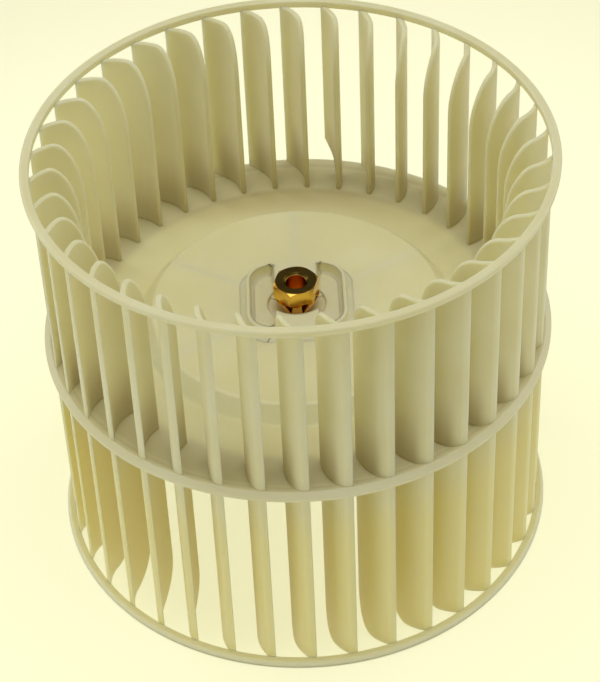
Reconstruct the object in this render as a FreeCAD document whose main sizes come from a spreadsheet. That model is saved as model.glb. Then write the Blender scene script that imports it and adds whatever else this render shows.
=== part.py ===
import FreeCAD, Part
import math
import os
import Sketcher
from FreeCAD import Placement, Rotation, Vector

# Double-inlet blower wheel of a ventilator: one plastic moulding and the brass insert moulded into its hub.
# Frame: millimetres, +Z up along the shaft axis, origin at the middle of the bottom ring's underside.
# The view of the photograph looks along +Y.

# Driving dimensions: alias, value, meaning.
SIZES = [
    ("wheel_diameter", 150.0, "over the two end rings"),
    ("wheel_height", 133.0, "over the two end rings"),
    ("ring_height", 2.4, "end ring, along the axis"),
    ("ring_wall", 2.6, "end ring, across at its outer end"),
    ("ring_draft", 0.7, "how much slimmer the ring is on the blades' side"),
    ("blade_sink", 0.3, "how far a blade's outer edge is sunk into the wall of its ring"),
    ("blade_lap", 0.8, "how far a blade's end runs on inside its ring"),
    ("disc_diameter", 149.2, "outer edge of the middle disc"),
    ("lip_crest_diameter", 145.8, "crest of the low lip near the disc's edge"),
    ("lip_foot_diameter", 139.4, "where the lip's inner slope meets the flange"),
    ("lip_rise", 1.2, "crest of the lip above the flange"),
    ("disc_level", 71.4, "upper face of the disc's flange above the bottom"),
    ("disc_wall", 1.2, "thickness of the disc"),
    ("step_diameter", 92.8, "foot of the sloped step on the disc"),
    ("plateau_diameter", 85.0, "top edge of the sloped step"),
    ("plateau_rise", 5.0, "plateau above the flange"),
    ("rib_count", 6, "ribs under the plateau"),
    ("rib_wall", 1.4, "thickness of a rib under the plateau"),
    ("blade_count", 38, "blades of each of the two sets"),
    ("blade_start_angle", 4.95, "place of the first blade's outer edge, from +X, degrees"),
    ("blade_inner_diameter", 119.6, "circle of the blades' inner edges"),
    ("blade_sweep_angle", 4.75, "inner edge behind the outer edge, degrees"),
    ("blade_camber", 2.15, "rise of the blade's arc over its chord"),
    ("blade_wall", 1.5, "thickness of a blade"),
    ("blade_tip_width", 6.5, "width of a blade where it meets its ring"),
    ("blade_corner_height", 17.0, "height of the swept corner between tip and inner edge"),
    ("broken_blade_number", 8, "place of the broken blade, counted from the first"),
    ("broken_height", 10.5, "height of the missing corner above the disc"),
    ("broken_width", 5.6, "width of the missing corner at the disc"),
    ("broken_knee_height", 5.2, "bend of the break above the disc"),
    ("broken_knee_width", 3.9, "width of the missing corner at that bend"),
    ("hub_width", 29.4, "hub cup, over its flat sides"),
    ("hub_corner_radius", 7.5, "outer corner of the hub cup"),
    ("hub_wall", 1.3, "wall of the hub cup"),
    ("hub_rise", 3.4, "rim of the hub cup above the plateau"),
    ("bar_width", 13.0, "bar across the hub cup, front to back"),
    ("recess_diameter", 17.2, "round recess around the insert"),
    ("seat_drop", 1.2, "floor of the recess below the plateau"),
    ("seat_wall", 1.5, "wall under and around the recess"),
    ("boss_diameter", 16.0, "boss that holds the insert"),
    ("boss_length", 9.6, "boss below the floor of the recess"),
    ("collar_width", 12.0, "hexagonal collar, across its flats"),
    ("collar_height", 5.0, "hexagonal collar, along the axis"),
    ("collar_turn", 14.8, "turn of the collar's corners, degrees"),
    ("collar_chamfer", 0.9, "how far the turned chamfer cuts in at the collar's top corners"),
    ("neck_height", 5.0, "fluted cone between collar and recess floor"),
    ("neck_top_diameter", 13.4, "fluted cone under the collar"),
    ("flute_count", 8, "flutes in the cone"),
    ("flute_width", 2.8, "mouth of a flute under the collar"),
    ("flute_floor_diameter", 9.0, "bottoms of the flutes"),
    ("shank_diameter", 8.8, "plain shank in the boss, and lower end of the cone"),
    ("shank_length", 10.6, "plain shank below the recess floor"),
    ("bore_diameter", 6.0, "bore for the motor shaft"),
    ("bore_chamfer", 0.7, "chamfer at both ends of the bore"),
]

doc = FreeCAD.newDocument("blower_wheel")
sheet = doc.addObject("Spreadsheet::Sheet", "Sizes")
for row, (alias, value, meaning) in enumerate(SIZES, start=1):
    sheet.set(f"A{row}", meaning)
    sheet.set(f"B{row}", str(value))
    sheet.setAlias(f"B{row}", alias)
doc.recompute()

# Lengths that follow from the driving dimensions, as formulas over the sheet.
RING_BORE = "(Sizes.wheel_diameter / 2 - Sizes.ring_wall)"
BLADE_LOW = "(Sizes.ring_height - Sizes.blade_lap)"
BLADE_HIGH = "(Sizes.wheel_height - Sizes.ring_height + Sizes.blade_lap)"
BLADE_OUTER = f"({RING_BORE} + Sizes.blade_sink)"
BLADE_INNER = "(Sizes.blade_inner_diameter / 2)"
SWEEP = "(Sizes.blade_sweep_angle * 1 deg)"
CHORD = f"sqrt({BLADE_OUTER}^2 + {BLADE_INNER}^2 - 2 * {BLADE_OUTER} * {BLADE_INNER} * cos({SWEEP}))"
ARC_RADIUS = f"({CHORD}^2 / (8 * Sizes.blade_camber) + Sizes.blade_camber / 2)"
STAGGER = f"atan2({BLADE_INNER} * sin({SWEEP}); {BLADE_OUTER} - {BLADE_INNER} * cos({SWEEP}))"
CHORD_END = f"({BLADE_OUTER} * cos({STAGGER}))"
CHORD_OFFSET = f"({BLADE_OUTER} * sin({STAGGER}))"
BLADE_STEP = "(360 / Sizes.blade_count)"
STEP_RUN = "((Sizes.step_diameter - Sizes.plateau_diameter) / 2)"
STEP_SLOPE = f"sqrt({STEP_RUN}^2 + Sizes.plateau_rise^2)"
STEP_SHIFT = f"(Sizes.disc_wall * Sizes.plateau_rise / ({STEP_RUN} + {STEP_SLOPE}))"
DISC_UNDER = "(Sizes.disc_level - Sizes.disc_wall)"
PLATEAU = "(Sizes.disc_level + Sizes.plateau_rise)"
HUB_RIM = f"({PLATEAU} + Sizes.hub_rise)"
PLATEAU_UNDER = f"({PLATEAU} - Sizes.disc_wall)"
SEAT = f"({PLATEAU} - Sizes.seat_drop)"
COLLAR_LOW = f"({SEAT} + Sizes.neck_height)"
INSERT_TOP = f"({COLLAR_LOW} + Sizes.collar_height)"
INSERT_LOW = f"({SEAT} - Sizes.shank_length)"

ORIGIN_POINT = (-1, 1)
X_AXIS = -1
Y_AXIS = -2
START, END, CENTRE = 1, 2, 3
CLEAR = 1.0


def size(expression):
    """Value of a formula over the sheet, as a plain number (lengths in mm, angles in degrees)."""
    value = sheet.evalExpression(expression)
    return float(getattr(value, "Value", value))


def new_body(label):
    """Empty body whose label names its file."""
    body = doc.addObject("PartDesign::Body", label)
    body.Label = label
    body.Placement = Placement()
    return body


def origin_feature(body, role):
    """Plane or axis of a body's own origin."""
    return next(item for item in body.Origin.OriginFeatures if item.Role == role)


def new_sketch(body, name, role, level="", turn="0 deg", shift=""):
    """Sketch on an origin plane of the body.

    level lifts a flat sketch, turn swings either kind about the wheel's axis, and shift then moves an
    upright one along its own normal.
    """
    sketch = body.newObject("Sketcher::SketchObject", name)
    sketch.AttachmentSupport = [(origin_feature(body, role), "")]
    sketch.MapMode = "FlatFace"
    axis = Vector(0, 0, 1) if role == "XY_Plane" else Vector(0, 1, 0)
    sketch.AttachmentOffset = Placement(Vector(0, 0, 0), Rotation(axis, 1.0))
    sketch.setExpression("AttachmentOffset.Rotation.Angle", turn)
    if level:
        sketch.setExpression("AttachmentOffset.Base.z", level)
    if shift:
        sketch.setExpression("AttachmentOffset.Base.x", f"{shift} * sin({turn})")
        sketch.setExpression("AttachmentOffset.Base.z", f"{shift} * cos({turn})")
    return sketch


def bind(sketch, index, expression):
    """Ties one dimension of a sketch to a formula over the sheet."""
    sketch.setExpression(f"Constraints[{index}]", expression)


def pin_point(sketch, geometry, place, x, y):
    """Puts a point of the sketch at (x, y), two formulas; the plain 0 lays it on the axis."""
    for text, axis, kind in ((x, Y_AXIS, "DistanceX"), (y, X_AXIS, "DistanceY")):
        if text == "0":
            sketch.addConstraint(Sketcher.Constraint("PointOnObject", geometry, place, axis))
        else:
            index = sketch.addConstraint(
                Sketcher.Constraint(kind, *ORIGIN_POINT, geometry, place, size(text)))
            bind(sketch, index, text)


def polygon(sketch, corners):
    """Closed outline of straight lines through corners given as pairs of formulas."""
    points = [Vector(size(x), size(y), 0) for x, y in corners]
    first = sketch.GeometryCount
    count = len(points)
    for i in range(count):
        sketch.addGeometry(Part.LineSegment(points[i], points[(i + 1) % count]))
    for i in range(count):
        nxt = first + (i + 1) % count
        sketch.addConstraint(Sketcher.Constraint("Coincident", first + i, END, nxt, START))
    for i, (x, y) in enumerate(corners):
        pin_point(sketch, first + i, START, x, y)


def circle(sketch, radius, x="0", y="0"):
    """Circle with its centre at (x, y), all three given as formulas."""
    index = sketch.addGeometry(Part.Circle(Vector(size(x), size(y), 0), Vector(0, 0, 1), size(radius)))
    if x == "0" and y == "0":
        sketch.addConstraint(Sketcher.Constraint("Coincident", index, CENTRE, *ORIGIN_POINT))
    else:
        pin_point(sketch, index, CENTRE, x, y)
    bind(sketch, sketch.addConstraint(Sketcher.Constraint("Radius", index, size(radius))), radius)


def rounded_square(sketch, half, radius):
    """Square of the given half width about the origin, with round corners, both given as formulas."""
    side, round_off = size(half), size(radius)
    run = side - round_off
    for quarter in range(4):
        turn = Rotation(Vector(0, 0, 1), 90 * quarter)
        line = Part.LineSegment(turn.multVec(Vector(side, -run, 0)), turn.multVec(Vector(side, run, 0)))
        corner = Part.Circle(turn.multVec(Vector(run, run, 0)), Vector(0, 0, 1), round_off)
        start = math.radians(90 * quarter)
        sketch.addGeometry(line)
        sketch.addGeometry(Part.ArcOfCircle(corner, start, start + math.pi / 2))
    for quarter in range(4):
        line, arc, nxt = 2 * quarter, 2 * quarter + 1, (2 * quarter + 2) % 8
        sketch.addConstraint(Sketcher.Constraint("Tangent", line, END, arc, START))
        sketch.addConstraint(Sketcher.Constraint("Tangent", arc, END, nxt, START))
        sketch.addConstraint(Sketcher.Constraint("Vertical" if quarter % 2 == 0 else "Horizontal", line))
    for arc in (3, 5, 7):
        sketch.addConstraint(Sketcher.Constraint("Equal", 1, arc))
    bind(sketch, sketch.addConstraint(Sketcher.Constraint("Radius", 1, round_off)), radius)
    for line, axis, kind in ((0, Y_AXIS, "DistanceX"), (2, X_AXIS, "DistanceY")):
        index = sketch.addConstraint(Sketcher.Constraint(kind, *ORIGIN_POINT, line, START, side))
        bind(sketch, index, half)
    for line, kind in ((4, "DistanceX"), (6, "DistanceY")):
        index = sketch.addConstraint(Sketcher.Constraint(kind, line, START, *ORIGIN_POINT, side))
        bind(sketch, index, half)


def hexagon(sketch, flats):
    """Regular hexagon about the origin with a corner on the sketch's -Y axis, flats given as a formula."""
    corner = size(flats) / math.sqrt(3)
    points = [Vector(corner * math.cos(math.radians(a)), corner * math.sin(math.radians(a)), 0)
              for a in range(-90, 270, 60)]
    for i in range(6):
        sketch.addGeometry(Part.LineSegment(points[i], points[(i + 1) % 6]))
    ring = sketch.addGeometry(Part.Circle(Vector(0, 0, 0), Vector(0, 0, 1), corner), True)
    sketch.addConstraint(Sketcher.Constraint("Coincident", ring, CENTRE, *ORIGIN_POINT))
    for i in range(6):
        sketch.addConstraint(Sketcher.Constraint("Coincident", i, END, (i + 1) % 6, START))
        sketch.addConstraint(Sketcher.Constraint("PointOnObject", i, START, ring))
        if i:
            sketch.addConstraint(Sketcher.Constraint("Equal", 0, i))
    sketch.addConstraint(Sketcher.Constraint("PointOnObject", 0, START, Y_AXIS))
    index = sketch.addConstraint(Sketcher.Constraint("Radius", ring, corner))
    bind(sketch, index, f"{flats} / sqrt(3)")


def pad(body, name, sketch, length, both_ways=False):
    """Adds the sketch's outline as a solid of the given length."""
    feature = body.newObject("PartDesign::Pad", name)
    feature.Profile = sketch
    feature.SideType = "Symmetric" if both_ways else "One side"
    feature.setExpression("Length", length)
    sketch.Visibility = False
    return feature


def pocket(body, name, sketch, length, both_ways=False):
    """Cuts the sketch's outline to the given depth below the sketch."""
    feature = body.newObject("PartDesign::Pocket", name)
    feature.Profile = sketch
    feature.SideType = "Symmetric" if both_ways else "One side"
    feature.setExpression("Length", length)
    return feature


def turn_profile(body, name, sketch, kind="PartDesign::Revolution"):
    """Adds or cuts the sketch's outline turned once round the wheel's axis."""
    feature = body.newObject(kind, name)
    feature.Profile = sketch
    feature.ReferenceAxis = (sketch, ["V_Axis"])
    feature.Angle = 360.0
    return feature


def ring_pattern(body, name, features, count):
    """Repeats the features evenly round the wheel's axis."""
    pattern = body.newObject("PartDesign::PolarPattern", name)
    pattern.Originals = features
    pattern.Axis = (origin_feature(body, "Z_Axis"), [""])
    pattern.Angle = 360.0
    pattern.setExpression("Occurrences", count)
    body.Tip = pattern
    return pattern


# Wheel: middle disc

def disc_profile(sketch):
    """Half section of the disc: flange with a low lip near its edge, sloped step and raised plateau."""
    rim, foot, edge = "Sizes.disc_diameter / 2", "Sizes.step_diameter / 2", "Sizes.plateau_diameter / 2"
    flange, crest_level = "Sizes.disc_level", "Sizes.disc_level + Sizes.lip_rise"
    crest, lip_foot = "Sizes.lip_crest_diameter / 2", "Sizes.lip_foot_diameter / 2"
    polygon(sketch, [(rim, DISC_UNDER), (rim, flange), (crest, crest_level), (lip_foot, flange),
                     (foot, flange), (edge, PLATEAU), ("0", PLATEAU), ("0", PLATEAU_UNDER),
                     (f"{edge} - {STEP_SHIFT}", PLATEAU_UNDER), (f"{foot} - {STEP_SHIFT}", DISC_UNDER)])


# Wheel: blades

def blade_section(sketch):
    """Section of one blade: an arc of even wall, cut square inside and along the wheel's rim outside.

    The outer edge's middle lies on the sketch's X axis and the hollow side faces larger angles.
    """
    outer = Vector(size(BLADE_OUTER), 0, 0)
    sweep = Rotation(Vector(0, 0, 1), -size("Sizes.blade_sweep_angle"))
    inner = sweep.multVec(Vector(size(BLADE_INNER), 0, 0))
    radius, half_wall = size(ARC_RADIUS), size("Sizes.blade_wall") / 2
    chord = outer - inner
    to_hollow = Vector(-chord.y, chord.x, 0).normalize()
    centre = (outer + inner) / 2 + to_hollow * (radius - size("Sizes.blade_camber"))
    start = math.atan2(inner.y - centre.y, inner.x - centre.x)
    side = math.copysign(1, outer.y - centre.y)
    middle, back, face, outer_edge, inner_edge = range(5)
    ends = []
    for arc_radius in (radius, radius + half_wall, radius - half_wall):
        end = side * math.acos((outer.x - centre.x) / arc_radius)
        ends.append(centre + Vector(math.cos(end), math.sin(end), 0) * arc_radius)
        sketch.addGeometry(Part.ArcOfCircle(Part.Circle(centre, Vector(0, 0, 1), arc_radius), start, end))
    sketch.toggleConstruction(middle)
    across = (inner - centre).normalize() * half_wall
    sketch.addGeometry(Part.LineSegment(ends[back], ends[face]))
    sketch.addGeometry(Part.LineSegment(inner + across, inner - across))
    for edge, place in ((outer_edge, END), (inner_edge, START)):
        sketch.addConstraint(Sketcher.Constraint("Coincident", edge, START, back, place))
        sketch.addConstraint(Sketcher.Constraint("Coincident", edge, END, face, place))
        sketch.addConstraint(Sketcher.Constraint("PointOnObject", middle, place, edge))
    sketch.addConstraint(Sketcher.Constraint("Vertical", outer_edge))
    sketch.addConstraint(Sketcher.Constraint("PointOnObject", middle, CENTRE, inner_edge))
    for arc in (back, face):
        sketch.addConstraint(Sketcher.Constraint("Coincident", arc, CENTRE, middle, CENTRE))
    pin_point(sketch, middle, END, BLADE_OUTER, "0")
    pin_point(sketch, middle, START, f"{BLADE_INNER} * cos({SWEEP})", f"-{BLADE_INNER} * sin({SWEEP})")
    for arc, text in ((middle, ARC_RADIUS), (back, f"{ARC_RADIUS} + Sizes.blade_wall / 2"),
                      (face, f"{ARC_RADIUS} - Sizes.blade_wall / 2")):
        bind(sketch, sketch.addConstraint(Sketcher.Constraint("Radius", arc, size(text))), text)


def swept_corner(sketch, tip_level, side):
    """Outline, in the plane of a blade's chord, of what lies outside the quarter ellipse at its inner corner.

    tip_level is the level of the blade's end, and side is +1 for the upper end, -1 for the lower one.
    """
    inner = f"({CHORD_END} - {CHORD})"
    tip = f"({CHORD_END} - Sizes.blade_tip_width)"
    corner_width = f"({CHORD} - Sizes.blade_tip_width)"
    tall, wide = size("Sizes.blade_corner_height"), size(corner_width)
    foot_level = f"({tip_level} - {side} * Sizes.blade_corner_height)"
    middle = Vector(size(tip), size(foot_level), 0)
    ellipse = Part.Ellipse(middle + Vector(0, tall, 0), middle - Vector(wide, 0, 0), middle)
    quarter = (0, math.pi / 2) if side > 0 else (math.pi / 2, math.pi)
    arc = sketch.addGeometry(Part.ArcOfEllipse(ellipse, *quarter))
    sketch.exposeInternalGeometry(arc)
    upright, level_line = arc + 1, arc + 2
    at_tip, at_foot = (START, END) if side > 0 else (END, START)
    pin_point(sketch, arc, CENTRE, tip, foot_level)
    sketch.addConstraint(Sketcher.Constraint("Vertical", upright))
    for line, length in ((upright, "2 * Sizes.blade_corner_height"), (level_line, f"2 * {corner_width}")):
        index = sketch.addConstraint(Sketcher.Constraint("Distance", line, START, line, END, size(length)))
        bind(sketch, index, length)
    sketch.addConstraint(Sketcher.Constraint("PointOnObject", arc, at_tip, upright))
    sketch.addConstraint(Sketcher.Constraint("PointOnObject", arc, at_foot, level_line))

    beyond, inside = f"({tip_level} + {side} * {CLEAR})", f"({inner} - {CLEAR})"
    places = ((inner, foot_level), (inside, foot_level), (inside, beyond), (tip, beyond), (tip, tip_level))
    corners = [Vector(size(x), size(y), 0) for x, y in places]
    first = sketch.GeometryCount
    for one, other in zip(corners, corners[1:]):
        sketch.addGeometry(Part.LineSegment(one, other))
    floor, back, top, drop = range(first, first + 4)
    for one, place, other in ((arc, at_foot, floor), (floor, END, back), (back, END, top), (top, END, drop)):
        sketch.addConstraint(Sketcher.Constraint("Coincident", one, place, other, START))
    sketch.addConstraint(Sketcher.Constraint("Coincident", drop, END, arc, at_tip))
    for kind, line in (("Horizontal", floor), ("Vertical", back), ("Horizontal", top), ("Vertical", drop)):
        sketch.addConstraint(Sketcher.Constraint(kind, line))
    for kind, text in (("DistanceX", inside), ("DistanceY", beyond)):
        index = sketch.addConstraint(Sketcher.Constraint(kind, *ORIGIN_POINT, back, END, size(text)))
        bind(sketch, index, text)


def broken_corner(sketch):
    """Outline, in the plane of its chord, of the piece missing from the broken blade at the disc."""
    foot = "Sizes.disc_level"
    knee, top = (f"{foot} + Sizes.{height}" for height in ("broken_knee_height", "broken_height"))
    beyond = f"{CHORD_END} + {CLEAR}"
    polygon(sketch, [(beyond, foot), (beyond, top), (CHORD_END, top),
                     (f"{CHORD_END} - Sizes.broken_knee_width", knee),
                     (f"{CHORD_END} - Sizes.broken_width", foot)])


def ring_profile(sketch):
    """Sections of the two end rings, each with its wide side outwards."""
    wide = "Sizes.wheel_diameter / 2"
    slim = f"({wide} - Sizes.ring_draft)"
    top_ring_low = "(Sizes.wheel_height - Sizes.ring_height)"
    for low, high, at_low, at_high in (("0", "Sizes.ring_height", wide, slim),
                                       (top_ring_low, "Sizes.wheel_height", slim, wide)):
        polygon(sketch, [(RING_BORE, low), (at_low, low), (at_high, high), (RING_BORE, high)])


def rib_profile(sketch):
    """Side view of one rib under the plateau, from the boss out to the sloped step."""
    inner, half_slope = "Sizes.boss_diameter / 2 - Sizes.rib_wall", f"{STEP_SHIFT} / 2"
    top = f"{PLATEAU} - Sizes.disc_wall / 2"
    polygon(sketch, [(inner, DISC_UNDER), (f"Sizes.step_diameter / 2 - {half_slope}", DISC_UNDER),
                     (f"Sizes.plateau_diameter / 2 - {half_slope}", top), (inner, top)])


def build_wheel():
    """The moulding: disc, blades, rings, ribs and hub, joined in one solid."""
    body = new_body("wheel")

    section = new_sketch(body, "blade_outline", "XY_Plane", BLADE_LOW, "Sizes.blade_start_angle * 1 deg")
    blade_section(section)
    blade = pad(body, "blade", section, f"{BLADE_HIGH} - {BLADE_LOW}")
    chord_turn = f"(Sizes.blade_start_angle * 1 deg + {STAGGER})"
    across = "2 * (Sizes.blade_camber + Sizes.blade_wall)"
    section = new_sketch(body, "upper_corner_outline", "XZ_Plane", turn=chord_turn, shift=CHORD_OFFSET)
    swept_corner(section, BLADE_HIGH, 1)
    upper_corner = pocket(body, "upper_corner", section, across, both_ways=True)
    section = new_sketch(body, "lower_corner_outline", "XZ_Plane", turn=chord_turn, shift=CHORD_OFFSET)
    swept_corner(section, BLADE_LOW, -1)
    lower_corner = pocket(body, "lower_corner", section, across, both_ways=True)
    ring_pattern(body, "blades", [blade, upper_corner, lower_corner], "Sizes.blade_count")

    chord_turn = f"({chord_turn} + Sizes.broken_blade_number * {BLADE_STEP} * 1 deg)"
    section = new_sketch(body, "break_outline", "XZ_Plane", turn=chord_turn, shift=CHORD_OFFSET)
    broken_corner(section)
    pocket(body, "break", section, across, both_ways=True)

    section = new_sketch(body, "disc_section", "XZ_Plane")
    disc_profile(section)
    turn_profile(body, "disc", section)

    section = new_sketch(body, "ring_sections", "XZ_Plane")
    ring_profile(section)
    turn_profile(body, "rings", section)

    section = new_sketch(body, "rib_outline", "XZ_Plane", turn="180 deg / Sizes.rib_count")
    rib_profile(section)
    rib = pad(body, "rib", section, "Sizes.rib_wall", both_ways=True)
    ring_pattern(body, "ribs", [rib], "Sizes.rib_count")

    build_hub(body)
    return body


# Wheel: hub

def build_hub(body):
    """Hub cup on the plateau, with its cross bar, the boss for the insert and the recess around it."""
    section = new_sketch(body, "cup_outline", "XY_Plane", PLATEAU_UNDER)
    rounded_square(section, "Sizes.hub_width / 2", "Sizes.hub_corner_radius")
    pad(body, "cup", section, "Sizes.disc_wall + Sizes.hub_rise")

    section = new_sketch(body, "cup_inside_outline", "XY_Plane", HUB_RIM)
    inner_half = "Sizes.hub_width / 2 - Sizes.hub_wall"
    rounded_square(section, inner_half, "Sizes.hub_corner_radius - Sizes.hub_wall")
    pocket(body, "cup_inside", section, "Sizes.hub_rise")

    section = new_sketch(body, "bar_outline", "XY_Plane", PLATEAU_UNDER)
    right, back = "Sizes.bar_width / 2", "(Sizes.hub_width - Sizes.hub_wall) / 2"
    left, front = f"-{right}", f"-{back}"
    polygon(section, [(right, back), (left, back), (left, front), (right, front)])
    pad(body, "bar", section, "Sizes.disc_wall + Sizes.hub_rise")

    section = new_sketch(body, "seat_outline", "XY_Plane", f"{SEAT} - Sizes.seat_wall")
    circle(section, "Sizes.recess_diameter / 2 + Sizes.seat_wall")
    pad(body, "seat", section, "Sizes.seat_wall + Sizes.seat_drop - Sizes.disc_wall / 2")

    section = new_sketch(body, "recess_outline", "XY_Plane", HUB_RIM)
    circle(section, "Sizes.recess_diameter / 2")
    pocket(body, "recess", section, f"{HUB_RIM} - {SEAT}")

    section = new_sketch(body, "boss_outline", "XY_Plane", f"{SEAT} - Sizes.boss_length")
    circle(section, "Sizes.boss_diameter / 2")
    pad(body, "boss", section, "Sizes.boss_length")

    section = new_sketch(body, "insert_hole_outline", "XY_Plane", SEAT)
    circle(section, "Sizes.shank_diameter / 2")
    pocket(body, "insert_hole", section, "Sizes.boss_length")


# Brass insert

def build_insert():
    """The insert: shank, fluted neck and hexagonal collar around the shaft bore."""
    body = new_body("brass_insert")
    shank, neck, bore = "Sizes.shank_diameter / 2", "Sizes.neck_top_diameter / 2", "Sizes.bore_diameter / 2"

    section = new_sketch(body, "shank_section", "XZ_Plane")
    polygon(section, [("0", INSERT_LOW), (shank, INSERT_LOW), (shank, SEAT), (neck, COLLAR_LOW),
                      ("0", COLLAR_LOW)])
    turn_profile(body, "shank", section)

    section = new_sketch(body, "flute_outline", "XY_Plane", COLLAR_LOW, "180 deg / Sizes.flute_count")
    mouth = "(Sizes.flute_width / 2)"
    beyond = f"{neck} + {CLEAR}"
    polygon(section, [("Sizes.flute_floor_diameter / 2", "0"), (neck, f"-{mouth}"), (beyond, f"-{mouth}"),
                      (beyond, mouth), (neck, mouth)])
    flute = pocket(body, "flute", section, "Sizes.neck_height")
    ring_pattern(body, "flutes", [flute], "Sizes.flute_count")

    section = new_sketch(body, "collar_outline", "XY_Plane", COLLAR_LOW, "Sizes.collar_turn * 1 deg")
    hexagon(section, "Sizes.collar_width")
    pad(body, "collar", section, "Sizes.collar_height")

    section = new_sketch(body, "collar_chamfer_section", "XZ_Plane")
    corner = "Sizes.collar_width / sqrt(3)"
    beyond = f"{corner} + {CLEAR}"
    polygon(section, [(f"{corner} - Sizes.collar_chamfer", INSERT_TOP), (beyond, INSERT_TOP),
                      (beyond, f"{INSERT_TOP} - (Sizes.collar_chamfer + {CLEAR}) / sqrt(3)")])
    turn_profile(body, "collar_chamfer", section, "PartDesign::Groove")

    section = new_sketch(body, "bore_outline", "XY_Plane", INSERT_TOP)
    circle(section, bore)
    pocket(body, "bore", section, f"{INSERT_TOP} - {INSERT_LOW}")

    section = new_sketch(body, "bore_chamfer_sections", "XZ_Plane")
    for level, side in ((INSERT_TOP, "-"), (INSERT_LOW, "+")):
        polygon(section, [(f"{bore} - {CLEAR}", level), (f"{bore} + Sizes.bore_chamfer", level),
                          (f"{bore} - {CLEAR}", f"{level} {side} (Sizes.bore_chamfer + {CLEAR})")])
    turn_profile(body, "bore_chamfers", section, "PartDesign::Groove")
    return body


# Build and write

pieces = [build_wheel(), build_insert()]
doc.recompute()
for item in doc.Objects:
    if "Invalid" in item.State or "Error" in item.State:
        raise RuntimeError(f"{item.Name} did not build: {item.State}")
os.makedirs("parts", exist_ok=True)
for piece in pieces:
    if piece.Shape.isNull() or not piece.Shape.isValid():
        raise RuntimeError(f"{piece.Label} has no sound solid")
    piece.Shape.exportStep(f"parts/{piece.Label}.step")
    print(piece.Label, len(piece.Shape.Solids), "solid,", round(piece.Shape.Volume, 1), "mm3")
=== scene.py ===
"""Double-inlet blower wheel in ivory plastic with a brass hub insert, on a pale light table.

The wheel is one moulding: a middle disc with a raised plateau, a hub cup, two sets of 38 curved blades and
two slim end rings. Lengths in the classes are millimetres unless they say otherwise; meshes are metres.
"""

import logging
from dataclasses import dataclass
from enum import Enum

import bpy
import numpy as np
from mathutils import Matrix, Vector

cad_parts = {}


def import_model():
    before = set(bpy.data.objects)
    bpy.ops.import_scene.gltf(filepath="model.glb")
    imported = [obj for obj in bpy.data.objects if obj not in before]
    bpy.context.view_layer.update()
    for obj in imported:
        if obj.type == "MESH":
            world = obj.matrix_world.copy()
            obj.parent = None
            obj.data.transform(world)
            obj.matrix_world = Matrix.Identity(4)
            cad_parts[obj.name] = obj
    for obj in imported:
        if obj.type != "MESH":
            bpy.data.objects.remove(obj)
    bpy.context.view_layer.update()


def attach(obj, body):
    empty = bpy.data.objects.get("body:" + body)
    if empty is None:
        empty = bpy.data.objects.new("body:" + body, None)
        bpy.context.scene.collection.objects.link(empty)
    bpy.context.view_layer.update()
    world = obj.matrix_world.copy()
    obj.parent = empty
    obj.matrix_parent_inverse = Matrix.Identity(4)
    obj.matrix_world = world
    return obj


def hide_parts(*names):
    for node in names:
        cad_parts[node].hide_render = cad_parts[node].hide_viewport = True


log = logging.getLogger("blower_wheel")
MM = 0.001
ROOT = "root"
Piece = bpy.types.Object
Material = bpy.types.Material
Tree = bpy.types.NodeTree
Node = bpy.types.Node
Socket = bpy.types.NodeSocket
Rows = list[tuple[np.ndarray | float, np.ndarray | float]]
Span = tuple[float, float]
Point = tuple[float, float, float]
Colour = tuple[float, float, float, float]
Value = Socket | float | Colour


class Level(Enum):
    """Heights above the bench that several pieces share, in millimetres."""

    BOTTOM = 0.0
    DISC_TOP = 71.4
    PLATEAU = 76.4
    SEAT = 75.2
    HUB_RIM = 79.8
    TOP = 133.0


class End(Enum):
    """Which end of the wheel a ring closes."""

    TOP = "top"
    BOTTOM = "bottom"


class Sum(Enum):
    """Sums that the finishes use, with Blender's names for them."""

    PLUS = "ADD"
    MINUS = "SUBTRACT"
    TIMES = "MULTIPLY"
    OVER = "DIVIDE"
    LARGER = "MAXIMUM"
    SIZE = "ABSOLUTE"
    ROOT = "SQRT"
    SINE = "SINE"
    BEARING = "ARCTAN2"
    REMAINDER = "FLOORED_MODULO"


class Mix(Enum):
    """What a mixture is made of, with Blender's names for it."""

    COLOUR = "RGBA"
    NUMBER = "FLOAT"


# Surfaces


def polar(radius: np.ndarray, angle: np.ndarray, height: np.ndarray) -> np.ndarray:
    """Points from radius, angle and height arrays that broadcast together.

    Args:
        radius: distance from the axis.
        angle: direction about the axis, in radians.
        height: level above the bench.

    Returns:
        Array with a last axis of x, y, z.
    """
    radius, angle, height = np.broadcast_arrays(radius, angle, height)
    return np.stack([radius * np.cos(angle), radius * np.sin(angle), height], axis=-1)


def full_turn(steps: int) -> np.ndarray:
    """Evenly spaced angles of one full turn, without the repeated last one."""
    return np.linspace(0.0, 2 * np.pi, steps, endpoint=False)


def grid_faces(rows: int, columns: int, close_rows: bool, close_columns: bool) -> np.ndarray:
    """Quads of a grid of rows by columns points.

    Args:
        rows: points along the first direction.
        columns: points along the second direction.
        close_rows: whether the last row joins the first.
        close_columns: whether the last column joins the first.

    Returns:
        Array of four point numbers a face.
    """
    i = np.arange(rows if close_rows else rows - 1)[:, None]
    j = np.arange(columns if close_columns else columns - 1)[None, :]
    down, right = (i + 1) % rows, (j + 1) % columns
    corners = [i * columns + j, i * columns + right, down * columns + right, down * columns + j]
    return np.stack([np.broadcast_to(c, (i.size, j.size)) for c in corners], axis=-1).reshape(-1, 4)


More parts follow.
